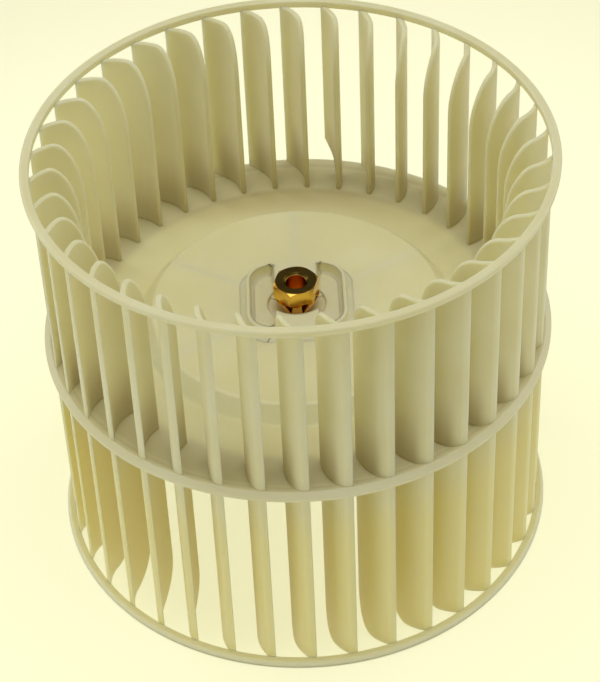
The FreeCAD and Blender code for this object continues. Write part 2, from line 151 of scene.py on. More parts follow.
def make_piece(name: str, points: np.ndarray, faces: np.ndarray, finish: Material) -> Piece:
    """Smooth mesh object at the origin from points in millimetres.

    Args:
        name: name of the object and its mesh.
        points: array of x, y, z, of any leading shape.
        faces: array of point numbers, one row a face, each in the order that points it outwards.
        finish: material that the piece wears.

    Returns:
        The linked object.
    """
    mesh = bpy.data.meshes.new(name)
    mesh.from_pydata((points.reshape(-1, 3) * MM).tolist(), [], faces.tolist())
    mesh.polygons.foreach_set("use_smooth", np.ones(len(mesh.polygons), dtype=bool))
    mesh.materials.append(finish)
    mesh.validate()
    piece = bpy.data.objects.new(name, mesh)
    bpy.context.scene.collection.objects.link(piece)
    bpy.context.view_layer.objects.active = piece
    return piece


def round_path(corners: list[Point], steps: int = 5, hold: float = 0.12) -> np.ndarray:
    """Closed path through corners, each rounded by its own radius.

    A rounding starts and ends at radius / tan of half the corner's angle from the corner, and its points
    are spread evenly over the arc between.

    Args:
        corners: (x, y, rounding radius) of each corner, in order.
        steps: points on each rounded corner.
        hold: how far before and after a rounding one more point keeps the straight stretch flat.

    Returns:
        Array of points; a corner with no radius gives one point.
    """
    points = np.array([c[:2] for c in corners])
    path = []
    befores, afters = np.roll(points, 1, 0), np.roll(points, -1, 0)
    for here, before, after, (_, _, radius) in zip(points, befores, afters, corners):
        if radius <= 0:
            path.append(here[None])
            continue
        back, on = before - here, after - here
        back, on = back / np.linalg.norm(back), on / np.linalg.norm(on)
        half = np.arccos(np.clip(back @ on, -1, 1)) / 2
        middle = here + (back + on) / np.linalg.norm(back + on) * radius / np.sin(half)
        first, last = here + back * radius / np.tan(half), here + on * radius / np.tan(half)
        turn = np.linspace(0, 1, steps)[:, None]
        spread = np.pi - 2 * half
        a, b = first - middle, last - middle
        arc = (np.sin((1 - turn) * spread) * a + np.sin(turn * spread) * b) / np.sin(spread)
        path += [(first + back * hold)[None], middle + arc, (last + on * hold)[None]]
    return np.concatenate(path)


def turned_piece(name: str, path: np.ndarray, steps: int, finish: Material) -> Piece:
    """Piece turned round the wheel's axis from a closed path of radius and height.

    Args:
        name: name of the piece.
        path: points of the section, going up on the outside and inwards on top.
        steps: columns of points in one turn.
        finish: material that the piece wears.

    Returns:
        The finished piece.
    """
    points = polar(path[:, None, 0], full_turn(steps)[None], path[:, None, 1])
    return make_piece(name, points, grid_faces(len(path), steps, True, True), finish)


def turned_copies(points: np.ndarray, faces: np.ndarray, angles: np.ndarray) -> tuple[np.ndarray, np.ndarray]:
    """Copies of one shape swung about the wheel's axis.

    Args:
        points: x, y, z of the shape at angle zero.
        faces: its faces.
        angles: direction of each copy, in radians.

    Returns:
        Points and faces of all the copies.
    """
    x, y, z = points.T
    cos, sin = np.cos(angles)[:, None], np.sin(angles)[:, None]
    level = np.broadcast_to(z, (angles.size, z.size))
    placed = np.stack([x * cos - y * sin, x * sin + y * cos, level], axis=-1)
    shift = len(points) * np.arange(angles.size)[:, None, None]
    return placed.reshape(-1, 3), (faces[None] + shift).reshape(-1, faces.shape[1])


def soften(piece: Piece, width: float, segments: int = 2, angle: float = 35.0) -> None:
    """Rounds a piece's sharp edges as a mould or a deburring tool leaves them.

    Args:
        piece: mesh object to soften.
        width: size of the rounding in millimetres.
        segments: faces across the rounding.
        angle: smallest edge angle that is rounded, in degrees.
    """
    bevel = piece.modifiers.new("soft_edges", "BEVEL")
    bevel.width = width * MM
    bevel.segments = segments
    bevel.limit_method = "ANGLE"
    bevel.angle_limit = np.radians(angle)
    bevel.harden_normals = True
    bevel.use_clamp_overlap = True


# Finishes


class Board:
    """Node tree of a material or a shared effect, with short calls for the nodes that the finishes use."""

    def __init__(self, tree: Tree) -> None:
        """Works on the given node tree."""
        self.tree = tree

    def node(self, kind: str, **settings: object) -> Node:
        """Adds a node.

        Args:
            kind: Blender's name for its type.
            settings: its plain properties.

        Returns:
            The new node.
        """
        made = self.tree.nodes.new(kind)
        for key, value in settings.items():
            setattr(made, key, value)
        return made

    def feed(self, value: Value, target: Socket) -> None:
        """Feeds an input.

        Args:
            value: a socket to link, or a number or a colour to set.
            target: the input.
        """
        if isinstance(value, Socket):
            self.tree.links.new(value, target)
        else:
            target.default_value = value

    def math(self, kind: Sum, first: Value, second: Value = 0.0) -> Socket:
        """Result of one sum.

        Args:
            kind: which sum.
            first: its first value.
            second: its second value, which some sums don't read.

        Returns:
            The result.
        """
        made = self.node("ShaderNodeMath", operation=kind.value)
        self.feed(first, made.inputs[0])
        self.feed(second, made.inputs[1])
        return made.outputs["Value"]

    def chain(self, kind: Sum, first: Value, *others: Value) -> Value:
        """Result of one kind of sum carried on over several values.

        Args:
            kind: which sum.
            first: value that it starts from.
            others: values that it takes in, in order.

        Returns:
            The last result.
        """
        result = first
        for value in others:
            result = self.math(kind, result, value)
        return result

    def product(self, *values: Value) -> Value:
        """All the values multiplied."""
        return self.chain(Sum.TIMES, *values)

    def ease(self, value: Value, span: Span, origin: float = 0.0) -> Socket:
        """Mask that climbs softly from 0 to 1.

        Args:
            value: what the mask follows.
            span: where it is 0 and where it is 1, measured from the origin.
            origin: value that the span is measured from.

        Returns:
            The mask.
        """
        made = self.node("ShaderNodeMapRange", interpolation_type="SMOOTHSTEP")
        made.inputs["From Min"].default_value = origin + span[0]
        made.inputs["From Max"].default_value = origin + span[1]
        self.feed(value, made.inputs["Value"])
        return made.outputs["Result"]

    def near(self, value: Value, middle: float, fade: Span) -> Socket:
        """Mask round a middle: 0 at the fade's first distance from it, 1 at the second and within."""
        away = self.math(Sum.SIZE, self.math(Sum.MINUS, value, middle))
        return self.ease(away, fade)

    def stretch(self, value: Value, span: Span) -> Socket:
        """Stretches a value between 0 and 1 evenly.

        Args:
            value: the value.
            span: what 0 and what 1 become.

        Returns:
            The stretched value.
        """
        made = self.node("ShaderNodeMapRange")
        made.inputs["To Min"].default_value = span[0]
        made.inputs["To Max"].default_value = span[1]
        self.feed(value, made.inputs["Value"])
        return made.outputs["Result"]

    def blend(self, share: Value, first: Value, second: Value, kind: Mix = Mix.COLOUR) -> Socket:
        """Mixture of two colours or numbers.

        Args:
            share: share of the second, from 0 to 1.
            first: what a share of 0 gives.
            second: what a share of 1 gives.
            kind: whether colours or numbers are mixed.

        Returns:
            The mixture.
        """
        made = self.node("ShaderNodeMix", data_type=kind.value)
        for key, value in (("Factor", share), ("A", first), ("B", second)):
            self.feed(value, made.inputs[key])
        return made.outputs["Result"]

    def effect(self, group: Tree, **values: float) -> Node:
        """Places a shared effect.

        Args:
            group: the effect.
            values: its number inputs, with a low line for each space in their names.

        Returns:
            Its node.
        """
        made = self.node("ShaderNodeGroup", node_tree=group)
        for key, value in values.items():
            made.inputs[key.replace("_", " ")].default_value = value
        return made

    def relief(self, height: Value, strength: float, depth: float) -> Socket:
        """Normal of a surface with a fine relief.

        Args:
            height: what the relief follows, larger where it stands out.
            strength: how much of the relief shows.
            depth: depth of the relief in millimetres.

        Returns:
            The normal.
        """
        made = self.node("ShaderNodeBump")
        made.inputs["Strength"].default_value = strength
        made.inputs["Distance"].default_value = depth * MM
        self.feed(height, made.inputs["Height"])
        return made.outputs["Normal"]

    def lie(self) -> tuple[Socket, Socket, Socket, Socket, Socket]:
        """Where a point of the wheel lies.

        Returns:
            How far across, deep and high it is and its radius, in millimetres, and its angle.
        """
        place, axes = self.node("ShaderNodeTexCoord"), self.node("ShaderNodeSeparateXYZ")
        self.feed(place.outputs["Object"], axes.inputs["Vector"])
        across, deep, high = (self.math(Sum.OVER, axes.outputs[axis], MM) for axis in "XYZ")
        square = self.math(Sum.PLUS, self.product(across, across), self.product(deep, deep))
        return across, deep, high, self.math(Sum.ROOT, square), self.math(Sum.BEARING, deep, across)


def new_effect(name: str, inputs: dict[str, float], outputs: list[str]) -> tuple[Board, Node, Node]:
    """Empty shared effect with number inputs and outputs.

    Args:
        name: name of the effect.
        inputs: name and default of each input.
        outputs: name of each output.

    Returns:
        Its board, its input node and its output node.
    """
    group = bpy.data.node_groups.new(name, "ShaderNodeTree")
    for key, value in inputs.items():
        group.interface.new_socket(key, in_out="INPUT", socket_type="NodeSocketFloat").default_value = value
    for key in outputs:
        group.interface.new_socket(key, in_out="OUTPUT", socket_type="NodeSocketFloat")
    board = Board(group)
    return board, board.node("NodeGroupInput"), board.node("NodeGroupOutput")


def clouds_effect() -> Tree:
    """Uneven cloudiness of moulded resin or metal: a slow drift, a fine grain and their relief height.

    Returns:
        The shared effect.
    """
    defaults = {"Drift Scale": 25.0, "Grain Scale": 900.0, "Grain Share": 0.3}
    board, start, end = new_effect("Uneven Clouds", defaults, ["Cloud", "Grain", "Height"])
    place = board.node("ShaderNodeTexCoord")
    found = []
    for key, detail in (("Drift Scale", 3.0), ("Grain Scale", 4.0)):
        noise = board.node("ShaderNodeTexNoise")
        noise.inputs["Detail"].default_value = detail
        board.feed(place.outputs["Object"], noise.inputs["Vector"])
        board.feed(start.outputs[key], noise.inputs["Scale"])
        found.append(noise.outputs["Fac"])
    found.append(board.blend(start.outputs["Grain Share"], *found, kind=Mix.NUMBER))
    for value, key in zip(found, ("Cloud", "Grain", "Height")):
        board.feed(value, end.inputs[key])
    return board.tree


def places_effect() -> Tree:
    """Where a point of the wheel lies: across, deep and high, its radius in millimetres and its angle.

    Returns:
        The shared effect.
    """
    keys = ["Across", "Deep", "High", "Radius", "Angle"]
    board, _, end = new_effect("Place On Wheel", {}, keys)
    for value, key in zip(board.lie(), keys):
        board.feed(value, end.inputs[key])
    return board.tree


@dataclass(frozen=True)
class Finish:
    """What the finishes share: a name, the noise cells a metre of their clouds, and the grain's share."""

    name: str
    drift_scale: float
    grain_scale: float
    grain_share: float

    def surface(self, board: Board, cloud: Node, place: Node) -> Socket:
        """Shader of the surface, which each finish works out for itself.

        Args:
            board: the material's board.
            cloud: the cloudiness effect.
            place: the effect that tells where a point lies.

        Returns:
            The shader.
        """
        raise NotImplementedError

    def make(self, clouds: Tree, places: Tree) -> Material:
        """Material of the finish.

        Args:
            clouds: the shared cloudiness effect.
            places: the shared effect that tells where a point lies.

        Returns:
            The finished material.
        """
        material = bpy.data.materials.new(self.name)
        material.use_nodes = True
        material.node_tree.nodes.clear()
        board = Board(material.node_tree)
        cloud = board.effect(clouds, Drift_Scale=self.drift_scale, Grain_Scale=self.grain_scale,
                             Grain_Share=self.grain_share)
        output = board.node("ShaderNodeOutputMaterial")
        board.feed(self.surface(board, cloud, board.effect(places)), output.inputs["Surface"])
        return material


@dataclass(frozen=True)
class IvoryPlastic(Finish):
    """Natural, slightly see-through ivory plastic: satin, a little cloudy, with soft light inside the wall.

    Each tint has a share and the spans over which it comes and goes, in millimetres from the size or
    level that it follows. The brown over the flange, the blades' feet and the back of the step is painted
    shade, the pale tone at the front of the riser, on the low ring, round the hub and over the ribs is
    painted light, and the warm tone of the lower half is painted warm light; none of these is the
    plastic's own colour.
    """

    name: str = "ivory_plastic"
    drift_scale: float = 38.0
    grain_scale: float = 1100.0
    grain_share: float = 0.35
    light: Colour = (0.88, 0.84, 0.545, 1.0)
    deep: Colour = (0.84, 0.79, 0.48, 1.0)
    # brown: painted shade over the flange, the blades' feet and the back of the step, and the colour of one
    # small spot
    brown: Colour = (0.42, 0.33, 0.10, 1.0)
    # pale: painted light on the front riser, the low ring, the hub and over the ribs
    pale: Colour = (0.95, 0.92, 0.66, 1.0)
    # warm: painted warm light over the lower half of the wheel
    warm: Colour = (0.92, 0.82, 0.37, 1.0)
    cloud_fade: Span = (0.3, 0.7)
    roughness: Span = (0.34, 0.52)
    grain_height: float = 0.02
    grain_strength: float = 0.35
    refraction: float = 1.49
    inner_reach: float = 2.0
    inner_spread: Point = (1.0, 0.98, 0.92)
    blade_circle: float = 59.8
    lip_foot: float = 69.4
    plateau_edge: float = 43.6
    hub_reach: float = 15.0
    rib_count: int = 6
    flange_shade: float = 0.22
    flange_height: Span = (1.3, 0.5)
    flange_start: Span = (-3.0, 1.0)
    flange_end: Span = (0.9, -0.7)
    foot_shade: float = 0.55
    foot_top: Span = (22.0, 0.0)
    foot_base: Span = (0.0, 0.6)
    foot_start: Span = (-1.0, 0.0)
    foot_end: Span = (2.6, 0.0)
    step_shade: float = 0.42
    step_middle: float = 51.0
    step_width: Span = (10.0, 7.0)
    step_base: Span = (-1.0, 0.0)
    step_depth: Span = (38.0, 58.0)
    spot_shade: float = 0.22
    spot: tuple[float, float] = (-42.8, -11.6)
    spot_across: Span = (2.0, 0.3)
    spot_deep: Span = (2.4, 0.3)
    riser_light: float = 0.85
    riser_middle: float = 44.5
    riser_width: Span = (3.2, 1.4)
    riser_depth: Span = (5.0, -20.0)
    riser_base: Span = (-0.6, 0.2)
    low_ring_light: float = 0.7
    low_ring_top: Span = (4.0, 1.0)
    hub_light: float = 0.12
    hub_end: Span = (7.0, 1.0)
    hub_base: Span = (-2.0, -1.4)
    rib_light: float = 0.25
    rib_width: Span = (2.4, 0.2)
    rib_end: Span = (0.0, -3.0)
    rib_height: Span = (1.0, 0.5)
    warm_share: float = 0.85
    warm_fall: Span = (-1.0, -25.0)
    thick_hub_loss: float = 0.65
    thick_hub_end: Span = (9.0, 3.0)
    root_loss: float = 0.7
    root_height: Span = (5.0, 1.5)
    root_start: Span = (-2.0, 0.0)

    def shade(self, board: Board, place: Node) -> Value:
        """Share of brown: painted shade over the flange, the blades' feet and the back of the step, and one
        small spot.

        Args:
            board: the material's board.
            place: the effect that tells where a point lies.

        Returns:
            Mask from 0 to 1.
        """
        across, deep, high, radius = (place.outputs[k] for k in ("Across", "Deep", "High", "Radius"))
        disc = Level.DISC_TOP.value
        on_flange = board.near(high, disc, self.flange_height)
        # painted shade: the flange between the blades and the blades' feet, where the blades shade them
        flange = board.product(self.flange_shade, on_flange,
                               board.ease(radius, self.flange_start, self.blade_circle),
                               board.ease(radius, self.flange_end, self.lip_foot))
        feet = board.product(self.foot_shade,
                             board.ease(high, self.foot_top, disc), board.ease(high, self.foot_base, disc),
                             board.ease(radius, self.foot_start, self.blade_circle),
                             board.ease(radius, self.foot_end, self.lip_foot))
        # painted shade at the back of the step
        step = board.product(self.step_shade, board.near(radius, self.step_middle, self.step_width),
                             board.ease(high, self.step_base, disc), board.ease(deep, self.step_depth))
        spot = board.product(self.spot_shade, board.near(across, self.spot[0], self.spot_across),
                             board.near(deep, self.spot[1], self.spot_deep), on_flange)
        return board.chain(Sum.PLUS, flange, feet, step, spot)

    def painted_light(self, board: Board, place: Node) -> Value:
        """Share of the palest tone, painted light: front riser, low ring, hub and the soft lines over the
        ribs.

        Args:
            board: the material's board.
            place: the effect that tells where a point lies.

        Returns:
            Mask from 0 to 1.
        """
        deep, high, radius, angle = (place.outputs[k] for k in ("Deep", "High", "Radius", "Angle"))
        disc, plateau = Level.DISC_TOP.value, Level.PLATEAU.value
        # painted light: riser, low ring, hub and ribs lifted towards the pale tone
        riser = board.product(self.riser_light, board.near(radius, self.riser_middle, self.riser_width),
                              board.ease(deep, self.riser_depth), board.ease(high, self.riser_base, disc))
        low_ring = board.product(self.low_ring_light, board.ease(high, self.low_ring_top))
        hub = board.product(self.hub_light, board.ease(radius, self.hub_end, self.hub_reach),
                            board.ease(high, self.hub_base, plateau))
        pitch = 2 * np.pi / self.rib_count
        fold = board.math(Sum.MINUS, board.math(Sum.REMAINDER, angle, pitch), pitch / 2)
        beside = board.product(radius, board.math(Sum.SINE, fold))
        ribs = board.product(self.rib_light, board.near(beside, 0.0, self.rib_width),
                             board.ease(radius, self.rib_end, self.plateau_edge),
                             board.near(high, plateau, self.rib_height))
        return board.chain(Sum.LARGER, riser, low_ring, hub, ribs)

    def glow_inside(self, board: Board) -> Socket:
        """Share of light that travels inside the wall, less where thick walls join.

        It works the point's place out on the material's own board, because a shared effect doesn't feed
        this input.

        Args:
            board: the material's board.

        Returns:
            Value from 0 to 1.
        """
        _, _, high, radius, _ = board.lie()
        hub = board.product(self.thick_hub_loss, board.ease(radius, self.thick_hub_end, self.hub_reach))
        roots = board.product(self.root_loss, board.near(high, Level.DISC_TOP.value, self.root_height),
                              board.ease(radius, self.root_start, self.blade_circle))
        return board.math(Sum.MINUS, 1.0, board.math(Sum.LARGER, hub, roots))

    def surface(self, board: Board, cloud: Node, place: Node) -> Socket:
        """Shader of the moulding.

        Args:
            board: the material's board.
            cloud: the cloudiness effect.
            place: the effect that tells where a point lies.

        Returns:
            The shader.
        """
        tone = board.blend(board.ease(cloud.outputs["Cloud"], self.cloud_fade), self.deep, self.light)
        # painted warm light, full from some way under the disc downwards
        low = board.ease(place.outputs["High"], self.warm_fall, Level.DISC_TOP.value)
        tone = board.blend(board.product(low, self.warm_share), tone, self.warm)
        # pale blend: painted light
        tone = board.blend(self.painted_light(board, place), tone, self.pale)
        # brown blend: painted shade, and the one small spot
        tone = board.blend(self.shade(board, place), tone, self.brown)
        shell = board.node("ShaderNodeBsdfPrincipled", subsurface_method="RANDOM_WALK")
        shell.inputs["IOR"].default_value = self.refraction
        shell.inputs["Subsurface Radius"].default_value = self.inner_spread
        shell.inputs["Subsurface Scale"].default_value = self.inner_reach * MM
        board.feed(self.glow_inside(board), shell.inputs["Subsurface Weight"])
        board.feed(tone, shell.inputs["Base Color"])
        board.feed(board.stretch(cloud.outputs["Grain"], self.roughness), shell.inputs["Roughness"])
        grain = board.relief(cloud.outputs["Height"], self.grain_strength, self.grain_height)
        board.feed(grain, shell.inputs["Normal"])
        return shell.outputs["BSDF"]


@dataclass(frozen=True)
class TurnedBrass(Finish):
    """Free-cutting brass as it leaves the lathe, with fine tool rings and a light brown tarnish.

    Spans are in millimetres, from the level or radius that a tint follows. The lid is the flat face of
    the collar with the bore's mouth, painted dark as a painted reflection. The bore's red-brown is a
    painted reflection, the bright gold of the lobes, the neck's ridges between its flutes, is a painted
    highlight, and the deep red-brown of the flutes is painted shade.
    """

    name: str = "turned_brass"
    drift_scale: float = 260.0
    grain_scale: float = 4000.0
    grain_share: float = 0.5
    bright: Colour = (0.95, 0.60, 0.10, 1.0)
    tarnish: Colour = (0.52, 0.25, 0.035, 1.0)
    # hollow: painted shade in the flutes
    hollow: Colour = (0.22, 0.045, 0.012, 1.0)
    # lid: painted dark reflection on the collar's flat top and the bore's mouth
    lid: Colour = (0.075, 0.05, 0.01, 1.0)
    # bore: painted reflection tone inside the bore
    bore: Colour = (0.74, 0.38, 0.12, 1.0)
    # lobes: painted highlight on the neck's ridges
    lobes: Colour = (0.98, 0.58, 0.08, 1.0)
    cloud_fade: Span = (0.28, 0.55)
    roughness: Span = (0.10, 0.26)
    ring_pitch: float = 0.22
    ring_height: float = 0.012
    ring_strength: float = 0.3
    cloud_relief: float = 0.45
    collar_top: float = 85.2
    lid_share: float = 0.92
    lid_base: Span = (-0.25, -0.1)
    lid_radius: float = 6.15
    lid_end: Span = (0.15, -0.15)
    mouth_base: Span = (-0.9, -0.7)
    mouth_radius: float = 3.35
    mouth_width: Span = (0.5, 0.35)
    bore_share: float = 0.8
    bore_edge: Span = (3.02, 3.15)
    neck_foot: float = 75.2
    neck_top: float = 80.1
    neck_radii: Span = (4.4, 6.7)
    neck_start: Span = (-0.2, 0.0)
    neck_end: Span = (0.0, -0.1)
    neck_skin: Span = (3.6, 4.0)
    lobe_share: float = 0.75
    flute_depth: Span = (0.02, 0.3)

    def surface(self, board: Board, cloud: Node, place: Node) -> Socket:
        """Shader of the insert.

        Args:
            board: the material's board.
            cloud: the cloudiness effect.
            place: the effect that tells where a point lies.

        Returns:
            The shader.
        """
        radius, high = place.outputs["Radius"], place.outputs["High"]
        tone = board.blend(board.ease(cloud.outputs["Cloud"], self.cloud_fade), self.tarnish, self.bright)
        # painted dark reflection on the collar's top face and the bore's mouth
        face = board.product(board.ease(high, self.lid_base, self.collar_top),
                             board.ease(radius, self.lid_end, self.lid_radius))
        mouth = board.product(board.ease(high, self.mouth_base, self.collar_top),
                              board.near(radius, self.mouth_radius, self.mouth_width))
        lid = board.product(board.math(Sum.LARGER, face, mouth), board.ease(radius, self.bore_edge),
                            self.lid_share)
        tone = board.blend(lid, tone, self.lid)
        # painted reflection: the bore blended towards red-brown
        in_bore = board.ease(radius, self.bore_edge[::-1])
        tone = board.blend(board.product(in_bore, self.bore_share), tone, self.bore)
        slope = (self.neck_radii[1] - self.neck_radii[0]) / (self.neck_top - self.neck_foot)
        climb = board.product(board.math(Sum.MINUS, high, self.neck_foot), slope)
        cone = board.math(Sum.PLUS, climb, self.neck_radii[0])
        on_neck = board.product(board.ease(high, self.neck_start, self.neck_foot),
                                board.ease(high, self.neck_end, self.neck_top),
                                board.ease(radius, self.neck_skin))
        # painted highlight: the neck's ridges blended towards bright gold
        tone = board.blend(board.product(on_neck, self.lobe_share), tone, self.lobes)
        # painted shade: the flutes darkened where the surface sinks below the cone
        flute = board.product(board.ease(board.math(Sum.MINUS, cone, radius), self.flute_depth), on_neck)
        tone = board.blend(flute, tone, self.hollow)
        turns = board.product(board.math(Sum.PLUS, radius, high), 2 * np.pi / self.ring_pitch)
        rings = board.math(Sum.SINE, turns)
        height = board.blend(self.cloud_relief, rings, cloud.outputs["Height"], Mix.NUMBER)
        shell = board.node("ShaderNodeBsdfPrincipled")
        shell.inputs["Metallic"].default_value = 1.0
        board.feed(tone, shell.inputs["Base Color"])
        board.feed(board.stretch(cloud.outputs["Grain"], self.roughness), shell.inputs["Roughness"])
        board.feed(board.relief(height, self.ring_strength, self.ring_height), shell.inputs["Normal"])
        return shell.outputs["BSDF"]


@dataclass(frozen=True)
class PaleTable(Finish):
    """Pale, evenly bright table that still takes a faint shadow and dims a little far from the wheel."""

    name: str = "pale_table"
    drift_scale: float = 6.0
    grain_scale: float = 300.0
    grain_share: float = 0.5
    colour: Colour = (0.62, 0.61, 0.43, 1.0)
    cloudy: Colour = (0.60, 0.59, 0.41, 1.0)
    shine: Colour = (1.0, 0.99, 0.67, 1.0)
    dark: Colour = (0.0, 0.0, 0.0, 1.0)
    glow: float = 0.62
    far_dimming: float = 0.30
    far_fade: Span = (170.0, 400.0)

    def surface(self, board: Board, cloud: Node, place: Node) -> Socket:
        """Shader of the table.

        Args:
            board: the material's board.
            cloud: the cloudiness effect.
            place: the effect that tells where a point lies.

        Returns:
            The shader.
        """
        card = board.node("ShaderNodeBsdfDiffuse")
        board.feed(board.blend(cloud.outputs["Cloud"], self.cloudy, self.colour), card.inputs["Color"])
        glow = board.node("ShaderNodeEmission")
        # painted falloff of light: the glow dims far from the wheel
        dimmed = board.product(board.ease(place.outputs["Radius"], self.far_fade), self.far_dimming)
        board.feed(board.blend(dimmed, self.shine, self.dark), glow.inputs["Color"])
        seen = board.node("ShaderNodeLightPath").outputs["Is Camera Ray"]
        board.feed(board.product(seen, self.glow), glow.inputs["Strength"])
        both = board.node("ShaderNodeAddShader")
        board.feed(card.outputs["BSDF"], both.inputs[0])
        board.feed(glow.outputs["Emission"], both.inputs[1])
        return both.outputs["Shader"]


# Wheel


@dataclass
class EndRings:
    """The two slim rings that tie the blades' outer ends together, each wider at its outer end."""

    finish: Material
    outer_radius: float = 75.0
    wall: float = 2.6
    draft: float = 0.7
    height: float = 2.4
    outer_rounding: float = 0.75
    inner_rounding: float = 0.4
    steps: int = 288

    def ring(self, end: End) -> Piece:
        """One ring, turned from a rounded section that narrows towards the blades.

        The section's outer corner stands out by what its rounding takes away again.

        Args:
            end: the end of the wheel that it closes.

        Returns:
            The finished piece.
        """
        slant = np.arctan(self.draft / self.height)
        corner = self.outer_radius + self.outer_rounding * (np.tan(slant) + 1 / np.cos(slant) - 1)
        bore, slim = self.outer_radius - self.wall, corner - self.draft
        upper = end is End.TOP
        outside = (Level.TOP if upper else Level.BOTTOM).value
        inside = outside - self.height if upper else outside + self.height
        path = round_path([(bore, inside, self.inner_rounding), (slim, inside, self.outer_rounding),
                           (corner, outside, self.outer_rounding), (bore, outside, self.inner_rounding)])
        return turned_piece(f"{end.value}_ring", path if upper else path[::-1], self.steps, self.finish)

    def build(self) -> list[Piece]:
        """Both rings, top and bottom."""
        return [self.ring(end) for end in End]


